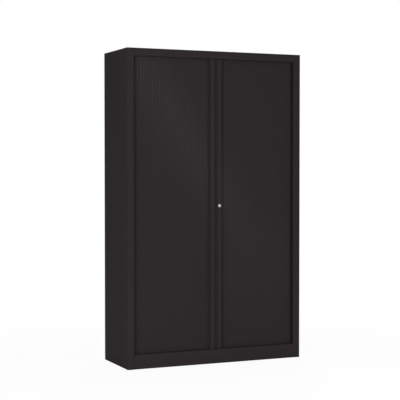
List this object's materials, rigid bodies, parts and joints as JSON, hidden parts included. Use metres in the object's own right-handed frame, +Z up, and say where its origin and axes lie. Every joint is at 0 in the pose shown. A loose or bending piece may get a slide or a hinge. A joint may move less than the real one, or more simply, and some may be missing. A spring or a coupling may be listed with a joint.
{
  "type": "tambour door cabinet",
  "caption": "Tall free-standing steel cupboard with slatted tambour doors that slide round into its sides, shelves and a lock.",
  "frame": {"origin": "at floor level, under the middle of the cabinet", "axes": "+Z up, +X to the right of someone facing the doors, -Y out of the front"},
  "size_m": [1.2, 0.43, 1.98],
  "materials": {
    "painted_steel": "near-black powder coat, fine matt texture",
    "slat_plastic": "near-black extruded slats, soft sheen",
    "black_plastic": "black moulded plastic",
    "zinced_steel": "bright zinc plate",
    "nickel": "satin nickel plate"
  },
  "bodies": {
    "case": {"left_side_panel": "painted_steel", "right_side_panel": "painted_steel", "top_panel": "painted_steel", "plinth": "painted_steel", "outer_back_panel": "painted_steel", "base_pan": "painted_steel", "roof_pan": "painted_steel", "floor_panel": "painted_steel", "ceiling_panel": "painted_steel", "left_inner_side": "painted_steel", "right_inner_side": "painted_steel", "inner_back_panel": "painted_steel", "shelf_1": "painted_steel", "shelf_2": "painted_steel", "shelf_3": "painted_steel", "shelf_4": "painted_steel", "left_lower_track": "black_plastic", "left_upper_track": "black_plastic", "right_lower_track": "black_plastic", "right_upper_track": "black_plastic", "shelf_1_clip_front_left": "zinced_steel", "shelf_1_clip_rear_left": "zinced_steel", "shelf_1_clip_front_right": "zinced_steel", "shelf_1_clip_rear_right": "zinced_steel", "shelf_2_clip_front_left": "zinced_steel", "shelf_2_clip_rear_left": "zinced_steel", "shelf_2_clip_front_right": "zinced_steel", "shelf_2_clip_rear_right": "zinced_steel", "shelf_3_clip_front_left": "zinced_steel", "shelf_3_clip_rear_left": "zinced_steel", "shelf_3_clip_front_right": "zinced_steel", "shelf_3_clip_rear_right": "zinced_steel", "shelf_4_clip_front_left": "zinced_steel", "shelf_4_clip_rear_left": "zinced_steel", "shelf_4_clip_front_right": "zinced_steel", "shelf_4_clip_rear_right": "zinced_steel", "foot_socket_front_left": "zinced_steel", "foot_socket_rear_left": "zinced_steel", "foot_socket_front_right": "zinced_steel", "foot_socket_rear_right": "zinced_steel"},
    "left_door": {"left_curtain": "slat_plastic", "left_handle": "slat_plastic", "left_meeting_strip": "slat_plastic", "left_handle_lower_cap": "black_plastic", "left_handle_upper_cap": "black_plastic", "strike_plate": "zinced_steel"},
    "right_door": {"right_curtain": "slat_plastic", "right_handle": "slat_plastic", "right_meeting_strip": "slat_plastic", "right_handle_lower_cap": "black_plastic", "right_handle_upper_cap": "black_plastic", "lock_housing": "nickel", "lock_clip": "zinced_steel"},
    "lock_cylinder": {"lock_core": "nickel", "lock_hook": "zinced_steel", "lock_hook_screw": "zinced_steel"},
    "front_left_foot": {"foot_front_left": "zinced_steel"},
    "front_right_foot": {"foot_front_right": "zinced_steel"},
    "rear_left_foot": {"foot_rear_left": "zinced_steel"},
    "rear_right_foot": {"foot_rear_right": "zinced_steel"}
  },
  "joints": [
    {"name": "left_door_slide", "type": "slide", "parent": "case", "child": "left_door", "axis": [-1, 0, 0], "range_m": [0, 0.49], "deforming": ["left_curtain"]},
    {"name": "right_door_slide", "type": "slide", "parent": "case", "child": "right_door", "axis": [1, 0, 0], "range_m": [0, 0.49], "deforming": ["right_curtain"]},
    {"name": "lock_turn", "type": "hinge", "parent": "right_door", "child": "lock_cylinder", "pos_m": [0.022, -0.2, 1.004], "axis": [0, 1, 0], "range_deg": [0, 90]},
    {"name": "front_left_foot_screw", "type": "slide", "parent": "case", "child": "front_left_foot", "axis": [0, 0, -1], "range_m": [0, 0.02]},
    {"name": "front_right_foot_screw", "type": "slide", "parent": "case", "child": "front_right_foot", "axis": [0, 0, -1], "range_m": [0, 0.02]},
    {"name": "rear_left_foot_screw", "type": "slide", "parent": "case", "child": "rear_left_foot", "axis": [0, 0, -1], "range_m": [0, 0.02]},
    {"name": "rear_right_foot_screw", "type": "slide", "parent": "case", "child": "rear_right_foot", "axis": [0, 0, -1], "range_m": [0, 0.02]}
  ]
}
